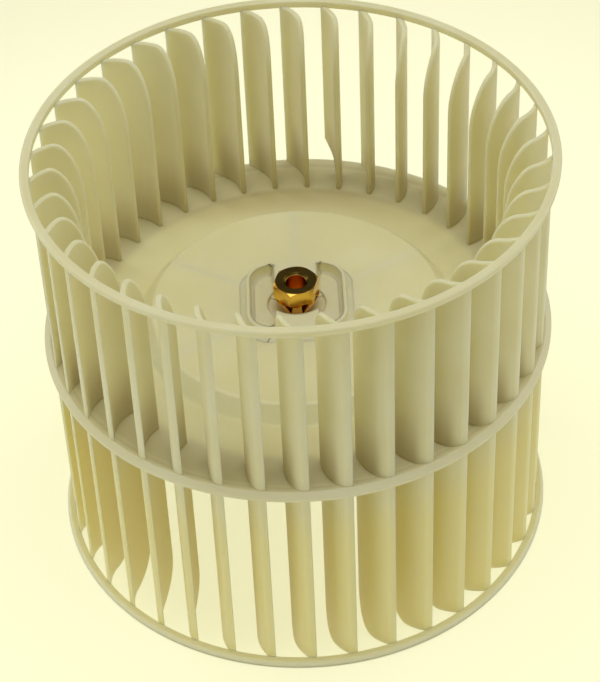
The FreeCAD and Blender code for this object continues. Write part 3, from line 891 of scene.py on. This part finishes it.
@dataclass
class Blades:
    """Curved blades that run through the disc from ring to ring, with a swept corner at both inner ends.

    A blade's section is an arc of even wall, cut along the wheel's rim outside and square to the arc
    inside. Places on a blade are measured along its chord from the outer edge inwards, and across its
    wall from 1 on the round side to -1 on the hollow side.
    """

    finish: Material
    count: int = 38
    start_angle: float = 4.95
    sweep: float = 4.75
    outer_radius: float = 72.7
    inner_radius: float = 59.8
    camber: float = 2.15
    wall: float = 1.5
    tip_width: float = 6.5
    corner_height: float = 17.0
    ring_height: float = 2.4
    lap: float = 0.8
    edge_rounding: float = 0.55
    broken_blade: int = 8
    break_heights: tuple[float, ...] = (0.0, 5.2, 10.5)
    break_widths: tuple[float, ...] = (5.6, 3.9, 0.0)
    break_jump: float = 0.05
    corner_rows: int = 14
    straight_rows: int = 9
    columns: int = 13
    edge_steps: int = 7

    @property
    def ends(self) -> np.ndarray:
        """Middles of a blade's outer and inner edge in plan, at angle zero.

        Returns:
            Two rows of x, y.
        """
        turn = -np.radians(self.sweep)
        outer, inner = self.outer_radius, self.inner_radius
        return np.array([[outer, 0.0], [inner * np.cos(turn), inner * np.sin(turn)]])

    @property
    def chord(self) -> float:
        """Straight width of a blade from its outer to its inner edge."""
        outer, inner = self.ends
        return float(np.linalg.norm(inner - outer))

    @property
    def arc_radius(self) -> float:
        """Radius of the blade's middle line."""
        return self.chord**2 / (8 * self.camber) + self.camber / 2

    def axes(self) -> tuple[np.ndarray, np.ndarray]:
        """Directions of a blade in plan, at angle zero.

        Returns:
            Unit vectors along the chord inwards and towards the hollow side.
        """
        outer, inner = self.ends
        inward = (inner - outer) / self.chord
        return inward, np.array([inward[1], -inward[0]])

    def plan(self, along: np.ndarray, across: np.ndarray) -> np.ndarray:
        """Plan of points on a blade at angle zero.

        The rise over the chord is that of a circle whose radius grows with across by half the wall.

        Args:
            along: places along the chord.
            across: places across the wall, from -1 to 1.

        Returns:
            Array with a last axis of x, y.
        """
        inward, hollow = self.axes()
        radius = self.arc_radius + across * self.wall / 2
        rise = np.sqrt(radius**2 - (along - self.chord / 2) ** 2) - (self.arc_radius - self.camber)
        return self.ends[0] + along[..., None] * inward - rise[..., None] * hollow

    def rim_cut(self, across: np.ndarray) -> np.ndarray:
        """Where the layers of the wall reach the cut along the rim.

        The cut is the rim's tangent at the outer edge. A layer's circle crosses it at the root of the
        layer's radius squared less the squared distance of the circle's centre from the tangent.

        Args:
            across: places across the wall, from -1 to 1.

        Returns:
            Places along the chord.
        """
        inward, hollow = self.axes()
        outer, inner = self.ends
        centre = (outer + inner) / 2 + hollow * (self.arc_radius - self.camber)
        radius = self.arc_radius + across * self.wall / 2
        to_side = np.sqrt(radius**2 - (outer[0] - centre[0]) ** 2) * np.sign(outer[1] - centre[1])
        return (centre[1] + to_side - outer[1]) * inward[1]

    def rows(self, broken: bool) -> tuple[np.ndarray, np.ndarray, np.ndarray]:
        """Rows of a blade from its lower to its upper end.

        Over a corner a row's height follows sin t and its width beyond the tip follows cos t, for t up to
        a right angle, which is a quarter ellipse.

        Args:
            broken: whether extra rows mark the bends of the break.

        Returns:
            Heights, shares of the width beyond the tip, and outward directions of the inner edge.
        """
        low, high = (level + way * (self.ring_height - self.lap)
                     for level, way in ((Level.BOTTOM.value, 1), (Level.TOP.value, -1)))
        straight = np.linspace(low + self.corner_height, high - self.corner_height, self.straight_rows)[1:-1]
        if broken:
            bends = [-self.break_jump, *self.break_heights, self.break_heights[-1] + self.break_jump]
            straight = np.sort(np.concatenate([straight, Level.DISC_TOP.value + np.array(bends)]))
        t = np.linspace(0, np.pi / 2, self.corner_rows)
        turn = np.concatenate([-t[::-1], np.zeros(len(straight)), t])
        foot = np.concatenate([np.full(len(t), low + self.corner_height), straight,
                               np.full(len(t), high - self.corner_height)])
        inward, upward = np.cos(turn) / (self.chord - self.tip_width), np.sin(turn) / self.corner_height
        normal = np.stack([inward, upward], axis=-1)
        normal /= np.linalg.norm(normal, axis=-1, keepdims=True)
        return foot + self.corner_height * np.sin(turn), np.cos(turn), normal

    def layers(self, broken: bool) -> np.ndarray:
        """Grids of points of one blade, one grid for each layer across the wall.

        Towards the middle of the wall the outline swells to its full size and at both faces it is drawn
        in by the rounding, so that every edge is round.

        Args:
            broken: whether the outer corner over the disc is missing.

        Returns:
            Array of layers by rows by columns by x, y, z.
        """
        height, share, normal = self.rows(broken)
        turn = np.linspace(0, np.pi, self.edge_steps)
        across, drawn_in = np.cos(turn), self.edge_rounding * (1 - np.sin(turn))[:, None]
        square_end = self.chord / 2 * (2 + across * self.wall / 2 / self.arc_radius)
        inner = self.tip_width + (square_end[:, None] - self.tip_width) * share - drawn_in * normal[:, 0]
        outer = np.broadcast_to(self.rim_cut(across)[:, None], inner.shape)
        if broken:
            over = height - Level.DISC_TOP.value
            missing = np.interp(over, self.break_heights, self.break_widths, left=0.0)
            outer = np.maximum(outer, missing)
        outer = outer + drawn_in
        level = height - drawn_in * normal[:, 1]
        spread = (1 - np.cos(np.linspace(0, np.pi, self.columns))) / 2
        along = outer[..., None] + (inner - outer)[..., None] * spread
        plan = self.plan(along, across[:, None, None])
        return np.concatenate([plan, np.broadcast_to(level[..., None, None], (*along.shape, 1))], axis=-1)

    def solid(self, broken: bool) -> tuple[np.ndarray, np.ndarray]:
        """One closed blade at angle zero: both faces, and a band round all its edges.

        Args:
            broken: whether the outer corner over the disc is missing.

        Returns:
            Its points and its faces.
        """
        layers = self.layers(broken)
        count, rows, columns = layers.shape[:3]
        place = np.arange(rows * columns).reshape(rows, columns)
        loop = np.concatenate([place[0], place[1:, -1], place[-1, -2::-1], place[-2:0:-1, 0]])
        flat = layers.reshape(count, -1, 3)
        points = np.concatenate([flat[0], flat[-1], flat[1:-1, loop].reshape(-1, 3)])
        inner = 2 * place.size + np.arange((count - 2) * loop.size).reshape(count - 2, -1)
        band = np.concatenate([loop[None], inner, place.size + loop[None]])
        side = grid_faces(rows, columns, False, False)
        around = band.ravel()[grid_faces(count, loop.size, False, True)]
        return points, np.concatenate([side[:, ::-1], side + place.size, around])

    def blades(self, name: str, places: np.ndarray, broken: bool) -> Piece:
        """Copies of one blade at several places round the wheel, as one piece.

        Args:
            name: name of the piece.
            places: numbers of the blades, counted from the first.
            broken: whether they lack their outer corner over the disc.

        Returns:
            The finished piece.
        """
        angles = np.radians(self.start_angle + places * 360.0 / self.count)
        return make_piece(name, *turned_copies(*self.solid(broken), angles), self.finish)

    def build(self) -> list[Piece]:
        """All the blades.

        Returns:
            The whole blades as one piece, and the broken one.
        """
        places = np.arange(self.count)
        return [self.blades("blades", places[places != self.broken_blade], False),
                self.blades("broken_blade", places[places == self.broken_blade], True)]


def square_radius(angle: np.ndarray, half: float, corner: float) -> np.ndarray:
    """Distance from the middle to the outline of a square with round corners.

    On a side the distance is half / cos of the angle to that side's middle; on a corner it is where the
    ray meets the corner's circle.

    Args:
        angle: directions, in radians.
        half: half the width over the flat sides.
        corner: radius of the corners.

    Returns:
        Array of distances.
    """
    fold = np.abs((angle + np.pi / 4) % (np.pi / 2) - np.pi / 4)
    middle = half - corner
    on_side = half / np.cos(fold)
    under = np.maximum(corner**2 - (middle * (np.cos(fold) - np.sin(fold))) ** 2, 0)
    on_corner = middle * (np.cos(fold) + np.sin(fold)) + np.sqrt(under)
    return np.where(half * np.tan(fold) <= middle, on_side, on_corner)


@dataclass
class MiddleDisc:
    """Disc between the two sets of blades, turned in one section with the seat and the boss of the insert."""

    finish: Material
    radius: float = 74.6
    wall: float = 1.2
    lip_crest: float = 72.9
    lip_foot: float = 69.7
    lip_rise: float = 1.2
    step_radius: float = 46.4
    plateau_radius: float = 42.5
    recess_radius: float = 8.6
    seat_wall: float = 1.5
    boss_radius: float = 8.0
    boss_length: float = 9.6
    hole_radius: float = 4.4
    bend_rounding: float = 1.3
    low_rim_rounding: float = 0.3
    top_rim_rounding: float = 0.35
    crest_rounding: float = 0.6
    lip_bend: float = 1.5
    recess_rounding: float = 0.3
    seat_rounding: float = 0.2
    boss_rounding: float = 0.5
    bend_steps: int = 6
    steps: int = 288

    def build(self) -> list[Piece]:
        """Flange with its lip, sloped step, plateau, recess, hole, boss and underside.

        The underside's bends are shifted inwards by wall * rise / (run + length of the slope), which keeps
        the wall even under the step.

        Returns:
            The disc, as the only piece.
        """
        top, high, seat = Level.DISC_TOP.value, Level.PLATEAU.value, Level.SEAT.value
        low, under, bend = top - self.wall, high - self.wall, self.bend_rounding
        run, rise = self.step_radius - self.plateau_radius, high - top
        shift = self.wall * rise / (run + np.hypot(run, rise))
        seat_rim, boss_low = self.recess_radius + self.seat_wall, seat - self.boss_length
        path = round_path([
            (self.radius, low, self.low_rim_rounding),
            (self.radius, top, self.top_rim_rounding),
            (self.lip_crest, top + self.lip_rise, self.crest_rounding),
            (self.lip_foot, top, self.lip_bend),
            (self.step_radius, top, bend),
            (self.plateau_radius, high, bend),
            (self.recess_radius, high, self.recess_rounding),
            (self.recess_radius, seat, self.seat_rounding),
            (self.hole_radius, seat, 0),
            (self.hole_radius, boss_low, 0),
            (self.boss_radius, boss_low, self.boss_rounding),
            (self.boss_radius, seat - self.seat_wall, self.seat_rounding),
            (seat_rim, seat - self.seat_wall, self.recess_rounding),
            (seat_rim, under, 0),
            (self.plateau_radius - shift, under, bend),
            (self.step_radius - shift, low, bend),
        ], self.bend_steps)
        return [turned_piece("middle_disc", path, self.steps, self.finish)]


@dataclass
class PlateauRibs:
    """Six low ribs under the plateau, from the boss out to the sloped step."""

    finish: Material
    count: int = 6
    wall: float = 1.4
    inner: float = 7.0
    foot: float = 45.6
    head: float = 41.6
    disc_wall: float = 1.2
    edge_rounding: float = 0.25

    def build(self) -> list[Piece]:
        """Slabs from the boss out, whose outer ends follow the step.

        Returns:
            All the ribs, as one piece.
        """
        low, high = Level.DISC_TOP.value - self.disc_wall, Level.PLATEAU.value - self.disc_wall / 2
        side = np.array([(self.inner, low), (self.foot, low), (self.head, high), (self.inner, high)])
        slab = [np.column_stack([side[:, 0], np.full(4, way * self.wall / 2), side[:, 1]]) for way in (-1, 1)]
        faces = np.array([[0, 1, 2, 3], [7, 6, 5, 4], [0, 4, 5, 1], [1, 5, 6, 2], [2, 6, 7, 3], [3, 7, 4, 0]])
        angles = np.radians(180.0 / self.count) + full_turn(self.count)
        piece = make_piece("plateau_ribs", *turned_copies(np.concatenate(slab), faces, angles), self.finish)
        soften(piece, self.edge_rounding)
        return [piece]


@dataclass
class HubCup:
    """Low rounded square wall on the plateau with a bar from front to back, both open to the recess.

    Wall and bar share one flat rim. Its inner outline runs round the two pockets and, across the bar,
    along the recess.
    """

    finish: Material
    half: float = 14.7
    corner: float = 7.5
    wall: float = 1.3
    bar_half: float = 6.5
    recess_radius: float = 8.62
    edge_rounding: float = 0.55
    rim_flat: float = 0.04
    pocket_rounding: float = 0.7
    outer_fillet: float = 2.2
    pocket_fillet: float = 1.1
    sunk: float = 0.3
    arc_share: float = 0.8
    arc_points: int = 13
    fillet_gap: float = 1.0
    corner_steps: int = 8
    edge_steps: int = 6

    def opening(self) -> np.ndarray:
        """Inner outline of the rim in plan, anticlockwise from the right-hand wall.

        Returns:
            Array of x, y.
        """
        inside, soft = self.half - self.wall, self.pocket_rounding
        crest = np.sqrt(self.recess_radius**2 - self.bar_half**2)
        over_bar = np.linspace(self.arc_share, -self.arc_share, self.arc_points) * self.bar_half
        arc = [(x, float(np.sqrt(self.recess_radius**2 - x**2)), 0.0) for x in over_bar]
        back = [(inside, inside, self.corner - self.wall), (self.bar_half, inside, soft),
                (self.bar_half, crest, soft), *arc, (-self.bar_half, crest, soft),
                (-self.bar_half, inside, soft), (-inside, inside, self.corner - self.wall)]
        return round_path(back + [(-x, -y, radius) for x, y, radius in back], self.corner_steps)

    def build(self) -> list[Piece]:
        """Wall and bar as one closed skin whose foot is sunk in the plateau.

        The skin is a stack of rows, each with one point for every point of the opening: up the outer
        outline over its fillet and rounding, over the flat rim, and down the opening the same way.

        Returns:
            The cup, as the only piece.
        """
        opening = self.opening()
        ahead = np.roll(opening, -1, 0) - np.roll(opening, 1, 0)
        outwards = np.column_stack([ahead[:, 1], -ahead[:, 0]]) / np.linalg.norm(ahead, axis=1, keepdims=True)
        steps = np.linalg.norm(np.diff(opening, axis=0, prepend=opening[-1:]), axis=1).cumsum()
        own = np.unwrap(np.arctan2(opening[:, 1], opening[:, 0]))
        on_wall = np.abs(opening[:, 0]) > self.bar_half + self.pocket_rounding / 2
        angle = np.interp(steps, steps[on_wall], own[on_wall])
        floor, rim, soft = Level.PLATEAU.value, Level.HUB_RIM.value, self.edge_rounding
        beyond_recess = np.abs(opening[:, 1]) > self.recess_radius + self.fillet_gap
        fillet = np.where(on_wall | beyond_recess, self.pocket_fillet, 0.0)
        quarter = np.linspace(0, np.pi / 2, self.edge_steps)
        flat = (self.wall - self.rim_flat) / 2

        def outside(inset: float, level: float) -> np.ndarray:
            """Row on the outer outline, drawn in by inset, at a level."""
            radius = square_radius(angle, self.half - inset, self.corner - inset)
            return polar(radius, angle, np.array(level))

        def inside(offset: np.ndarray | float, level: np.ndarray | float) -> np.ndarray:
            """Row on the opening, moved into the material by offset, at a level."""
            plan = opening + outwards * np.broadcast_to(offset, len(opening))[:, None]
            return np.column_stack([plan, np.broadcast_to(level, len(opening))])

        reach = self.outer_fillet
        rows = [outside(-reach, floor - self.sunk)]
        rows += [outside(-reach * (1 - np.sin(t)), floor + reach * (1 - np.cos(t))) for t in quarter]
        rows += [outside(soft * (1 - np.cos(t)), rim - soft * (1 - np.sin(t))) for t in quarter]
        rows += [outside(flat, rim), inside(flat, rim)]
        rows += [inside(soft * np.cos(t), rim - soft * (1 - np.sin(t))) for t in quarter[::-1]]
        rows += [inside(-fillet * (1 - np.cos(t)), floor + fillet * (1 - np.sin(t))) for t in quarter]
        rows += [inside(-fillet, floor - self.sunk)]
        faces = grid_faces(len(rows), len(opening), True, True)
        return [make_piece("hub_cup", np.stack(rows), faces, self.finish)]


@dataclass
class BrassInsert:
    """Insert on the axis: shank in the boss, fluted neck and hexagonal collar with a turned chamfer."""

    finish: Material
    collar_half: float = 6.0
    collar_height: float = 5.0
    collar_turn: float = 14.8
    collar_chamfer: float = 0.9
    neck_height: float = 5.0
    neck_radius: float = 6.7
    flutes: int = 8
    flute_mouth: float = 2.8
    flute_floor: float = 4.5
    shank_radius: float = 4.4
    shank_length: float = 10.6
    bore_radius: float = 3.0
    bore_chamfer: float = 0.7
    edge: float = 0.25
    chamfer_angle: float = 30.0
    chamfer_gap: float = 0.02
    edge_rounding: float = 0.09
    smallest_edge: float = 20.0
    neck_rows: int = 9
    steps: int = 288

    def piece(self, name: str, rows: Rows) -> Piece:
        """Closed piece from rows of points round the axis.

        Args:
            name: name of the piece.
            rows: radius and height of each row, each a number or one value for every angle.

        Returns:
            The finished piece.
        """
        angle = full_turn(self.steps)
        points = np.stack([polar(np.asarray(r, float), angle, np.asarray(z, float)) for r, z in rows])
        made = make_piece(name, points, grid_faces(len(rows), self.steps, True, True), self.finish)
        soften(made, self.edge_rounding, angle=self.smallest_edge)
        return made

    def collar(self) -> Piece:
        """Hexagon whose top corners a cone takes off.

        A face lies at half the width over the flats / cos of the angle to its middle, and outside the
        crown's radius the shoulder falls by the tangent of the chamfer's angle.

        Returns:
            The collar.
        """
        angle = full_turn(self.steps)
        low = Level.SEAT.value + self.neck_height
        top = low + self.collar_height
        side = np.pi / 3
        fold = (angle + side - np.radians(self.collar_turn)) % side - side / 2
        hexagon = self.collar_half / np.cos(fold)
        crown = self.collar_half / np.cos(side / 2) - self.collar_chamfer
        fall = np.maximum(hexagon - crown, 0) * np.tan(np.radians(self.chamfer_angle))
        shoulder = top - fall - self.chamfer_gap
        mouth = self.bore_radius + self.bore_chamfer
        return self.piece("brass_collar", [
            (self.bore_radius, low), (hexagon - self.edge, low), (hexagon, low + self.edge),
            (hexagon, (low + shoulder) / 2), (hexagon, shoulder), (np.minimum(hexagon, crown), top),
            ((crown + mouth) / 2, top), (mouth, top), (self.bore_radius, top - self.bore_chamfer)])

    def neck(self) -> Piece:
        """Cone with upright V-shaped flutes over a plain shank, bored through.

        At an angle f from a flute's middle its side lies at floor / (cos f - sin f * depth / half mouth).

        Returns:
            The neck and the shank, as one piece.
        """
        seat, low = Level.SEAT.value, Level.SEAT.value - self.shank_length
        pitch = 2 * np.pi / self.flutes
        fold = np.abs(full_turn(self.steps) % pitch - pitch / 2)
        slope = (self.neck_radius - self.flute_floor) / (self.flute_mouth / 2)
        under = np.cos(fold) - slope * np.sin(fold)
        flute = np.where(under > 0, self.flute_floor / np.maximum(under, 1e-6), np.inf)
        rows = [(self.bore_radius, low + self.bore_chamfer), (self.bore_radius + self.bore_chamfer, low),
                (self.shank_radius - self.edge, low), (self.shank_radius, low + self.edge),
                (self.shank_radius, seat - self.edge)]
        for share in np.linspace(0, 1, self.neck_rows):
            cone = self.shank_radius + (self.neck_radius - self.shank_radius) * share
            rows.append((np.minimum(cone, flute), seat + self.neck_height * share))
        return self.piece("brass_neck", [*rows, (self.bore_radius, seat + self.neck_height)])

    def build(self) -> list[Piece]:
        """Collar and fluted neck."""
        return [self.collar(), self.neck()]


# Studio


@dataclass(frozen=True)
class Lamp:
    """Square soft lamp aimed at the wheel, with its place and width in metres and its power in watts."""

    name: str
    place: Point
    width: float
    power: float


@dataclass
class Studio:
    """Pale table, soft lamps and the camera that took the picture.

    Lengths are metres and angles degrees, and the lens and the sensor are millimetres.
    """

    table: Material
    table_half: float = 3.0
    aim: Point = (0.0, 0.0, 0.07125)
    distance: float = 0.6654
    elevation: float = 41.997
    yaw: float = 0.036
    pitch: float = -0.645
    roll: float = -2.652
    lens: float = 119.0
    sensor: float = 36.0
    farthest: float = 20.0
    lamps: tuple[Lamp, ...] = (
        Lamp("overhead", (0.05, -0.15, 1.28), 1.2, 5.9),
        Lamp("back_left", (-1.20, 0.80, 0.70), 0.8, 4.2),
        Lamp("back_right", (1.20, 0.70, 0.70), 0.8, 3.6),
        Lamp("left", (-1.20, -0.50, 0.30), 0.8, 2.3),
        Lamp("front_right", (1.10, -0.80, 0.45), 0.6, 0.9),
        Lamp("from_below", (0.0, 0.0, 0.0003), 0.6, 0.45),
    )
    sky: Point = (1.0, 0.98, 0.93)
    sky_strength: float = 0.26

    def floor(self) -> None:
        """Table top under the wheel."""
        h = self.table_half / MM
        points = np.array([(-h, -h, 0), (h, -h, 0), (h, h, 0), (-h, h, 0)], float)
        make_piece("table_top", points, np.array([[0, 1, 2, 3]]), self.table)

    def light(self) -> None:
        """Square soft lamps aimed at the wheel, and a dim even sky."""
        for lamp in self.lamps:
            light = bpy.data.lights.new(lamp.name, "AREA")
            light.size = lamp.width
            light.energy = lamp.power
            stand = bpy.data.objects.new(lamp.name, light)
            stand.visible_camera = False
            turn = (Vector(self.aim) - Vector(lamp.place)).to_track_quat("-Z", "Y").to_matrix().to_4x4()
            stand.matrix_world = Matrix.Translation(lamp.place) @ turn
            bpy.context.scene.collection.objects.link(stand)
        world = bpy.data.worlds.new("studio_sky")
        world.use_nodes = True
        back = world.node_tree.nodes["Background"]
        back.inputs["Color"].default_value = (*self.sky, 1.0)
        back.inputs["Strength"].default_value = self.sky_strength
        bpy.context.scene.world = world

    def camera(self) -> None:
        """Camera at the photograph's place, turned by small yaw, pitch and roll about its own axes."""
        elevation, yaw, pitch, roll = np.radians([self.elevation, self.yaw, self.pitch, self.roll])
        place = self.distance * np.array([0.0, -np.cos(elevation), np.sin(elevation)])
        ahead = -place / np.linalg.norm(place)
        right = np.cross(ahead, [0.0, 0.0, 1.0])
        right /= np.linalg.norm(right)
        up = np.cross(right, ahead)
        ahead = ahead * np.cos(pitch) * np.cos(yaw) + right * np.sin(yaw) + up * np.sin(pitch)
        ahead /= np.linalg.norm(ahead)
        right -= ahead * (right @ ahead)
        right /= np.linalg.norm(right)
        up = np.cross(right, ahead)
        right = right * np.cos(roll) + up * np.sin(roll)
        up = np.cross(right, ahead)
        turn = Matrix([[right[i], up[i], -ahead[i]] for i in range(3)]).to_4x4()
        data = bpy.data.cameras.new("camera")
        data.lens = self.lens
        data.sensor_width = self.sensor
        data.clip_end = self.farthest
        eye = bpy.data.objects.new("camera", data)
        eye.matrix_world = Matrix.Translation(Vector(place) + Vector(self.aim)) @ turn
        bpy.context.scene.collection.objects.link(eye)
        bpy.context.scene.camera = eye

    def build(self) -> None:
        """Table, lamps and camera."""
        self.floor()
        self.light()
        self.camera()
        bpy.context.scene.view_settings.view_transform = "Standard"


def main() -> None:
    """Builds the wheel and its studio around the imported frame."""
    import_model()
    places, clouds = places_effect(), clouds_effect()
    plastic = IvoryPlastic().make(clouds, places)
    brass = TurnedBrass().make(clouds, places)
    wheel = [EndRings(plastic), Blades(plastic), MiddleDisc(plastic), PlateauRibs(plastic), HubCup(plastic)]
    for sub, node, slot in [*((part, "wheel", "ivory_plastic") for part in wheel),
                            (BrassInsert(brass), "brass_insert", "brass")]:
        for piece in sub.build():
            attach(piece, ROOT)
            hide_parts(node)
            log.info("%s: %d faces", piece.name, len(piece.data.polygons))
    Studio(PaleTable().make(clouds, places)).build()


if __name__ == "__main__":
    logging.basicConfig(level=logging.INFO)
    main()
